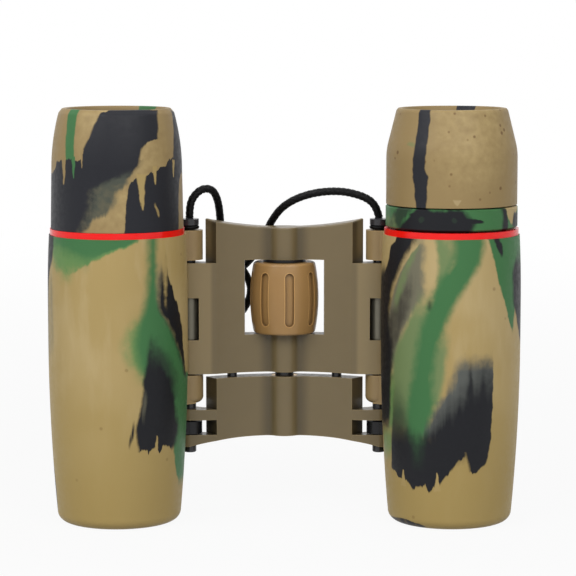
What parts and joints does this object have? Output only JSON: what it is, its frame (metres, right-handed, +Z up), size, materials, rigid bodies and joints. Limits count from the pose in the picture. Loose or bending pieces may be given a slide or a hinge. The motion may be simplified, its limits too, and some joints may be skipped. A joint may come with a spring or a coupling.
{
  "type": "folding binoculars",
  "caption": "Pocket roof-prism binoculars with two folding barrels in camouflage rubber armour, centre focus knob, diopter ring and a braided neck cord.",
  "frame": {"origin": "middle of the binoculars' own box, without the neck cord, on the surface that they stand on", "axes": "+Z up along the optical axes to the eyecups, -Y to the hollow side of the bridge, +X to the right"},
  "size_m": [0.1089, 0.0613, 0.095],
  "materials": {
    "camo_rubber": "matt camouflage print: tan with green and blue-black brush strokes",
    "tan_rubber": "matt tan with one black stroke",
    "tan_shell": "satin moulded shell",
    "red_trim": "bright red, glossy",
    "bridge_paint": "brown-grey satin paint on a casting",
    "knob_tan": "satin tan with rounded grooves",
    "black_steel": "black finish",
    "grey_alloy": "plain grey sleeve",
    "black_plastic": "matt black",
    "bare_steel": "plain steel",
    "brass": "turned brass",
    "coated_glass": "coated lens glass",
    "prism_glass": "polished prism glass",
    "cord_braid": "black braided cord"
  },
  "bodies": {
    "bridge": {"upper_bridge": "bridge_paint", "left_hinge_pin": "black_steel", "right_hinge_pin": "black_steel", "left_hinge_sleeve": "grey_alloy", "right_hinge_sleeve": "grey_alloy", "upper_focus_bush": "brass", "lower_focus_bush": "brass", "thrust_washer": "black_plastic", "guide_pins": "black_steel", "left_cord_eye": "cord_braid", "left_cord_run": "cord_braid", "cord_coil": "cord_braid", "cord_tie": "cord_braid", "right_cord_run": "cord_braid", "right_cord_eye": "cord_braid"},
    "left_barrel": {"left_barrel_tube": "tan_shell", "left_armour": "camo_rubber", "left_trim_ring": "red_trim", "left_prism_holder": "black_plastic", "left_half_penta_prism": "prism_glass", "left_roof_prism": "prism_glass", "left_prism_clip": "bare_steel", "left_ocular_tube": "black_plastic", "left_field_lens": "coated_glass", "left_lens_spacer": "black_plastic", "left_eye_lens": "coated_glass", "left_lens_retainer": "black_plastic", "left_eyecup": "camo_rubber"},
    "right_barrel": {"right_barrel_tube": "tan_shell", "right_armour": "camo_rubber", "right_trim_ring": "red_trim", "right_prism_holder": "black_plastic", "right_half_penta_prism": "prism_glass", "right_roof_prism": "prism_glass", "right_prism_clip": "bare_steel"},
    "focus_knob": {"focus_knob": "knob_tan", "focus_screw": "black_steel", "knob_set_screw": "bare_steel"},
    "lower_bridge": {"lower_bridge": "bridge_paint", "focus_nut": "brass"},
    "left_objective": {"left_objective_cell": "black_plastic", "left_objective_lens": "coated_glass", "left_objective_retainer": "black_plastic"},
    "right_objective": {"right_objective_cell": "black_plastic", "right_objective_lens": "coated_glass", "right_objective_retainer": "black_plastic"},
    "diopter_ring": {"diopter_ring": "camo_rubber"},
    "right_ocular": {"right_ocular_tube": "black_plastic", "right_field_lens": "coated_glass", "right_lens_spacer": "black_plastic", "right_eye_lens": "coated_glass", "right_lens_retainer": "black_plastic", "right_eyecup": "tan_rubber"}
  },
  "joints": [
    {"name": "left_fold", "type": "hinge", "parent": "bridge", "child": "left_barrel", "pos_m": [-0.0222, 0.00736, 0.04], "axis": [0, 0, 1], "range_deg": [0, 68]},
    {"name": "right_fold", "type": "hinge", "parent": "bridge", "child": "right_barrel", "pos_m": [0.0222, 0.00736, 0.04], "axis": [0, 0, -1], "range_deg": [0, 68]},
    {"name": "focus_slide", "type": "slide", "parent": "bridge", "child": "lower_bridge", "axis": [0, 0, 1], "range_m": [-0.002, 0.00075]},
    {"name": "focus_turn", "type": "hinge", "parent": "bridge", "child": "focus_knob", "pos_m": [0, 0.0113, 0.05], "axis": [0, 0, 1], "range_deg": [-90.5, 240.5]},
    {"name": "left_objective_slide", "type": "slide", "parent": "left_barrel", "child": "left_objective", "axis": [0, 0, 1], "range_m": [-0.00201, 0.00076]},
    {"name": "right_objective_slide", "type": "slide", "parent": "right_barrel", "child": "right_objective", "axis": [0, 0, 1], "range_m": [-0.00201, 0.00076]},
    {"name": "diopter_slide", "type": "slide", "parent": "right_barrel", "child": "right_ocular", "axis": [0, 0, 1], "range_m": [0, 0.0016]},
    {"name": "diopter_turn", "type": "hinge", "parent": "right_barrel", "child": "diopter_ring", "pos_m": [0.0382, -0.00335, 0.0705], "axis": [0, 0, 1], "range_deg": [-0.5, 200.5]}
  ],
  "couplings": [
    {"joint": "focus_turn", "follows": "focus_slide", "rad_per_m": -2094.4},
    {"joint": "left_objective_slide", "follows": "focus_slide", "ratio": 1},
    {"joint": "right_objective_slide", "follows": "focus_slide", "ratio": 1},
    {"joint": "diopter_turn", "follows": "diopter_slide", "rad_per_m": 2181.7}
  ]
}
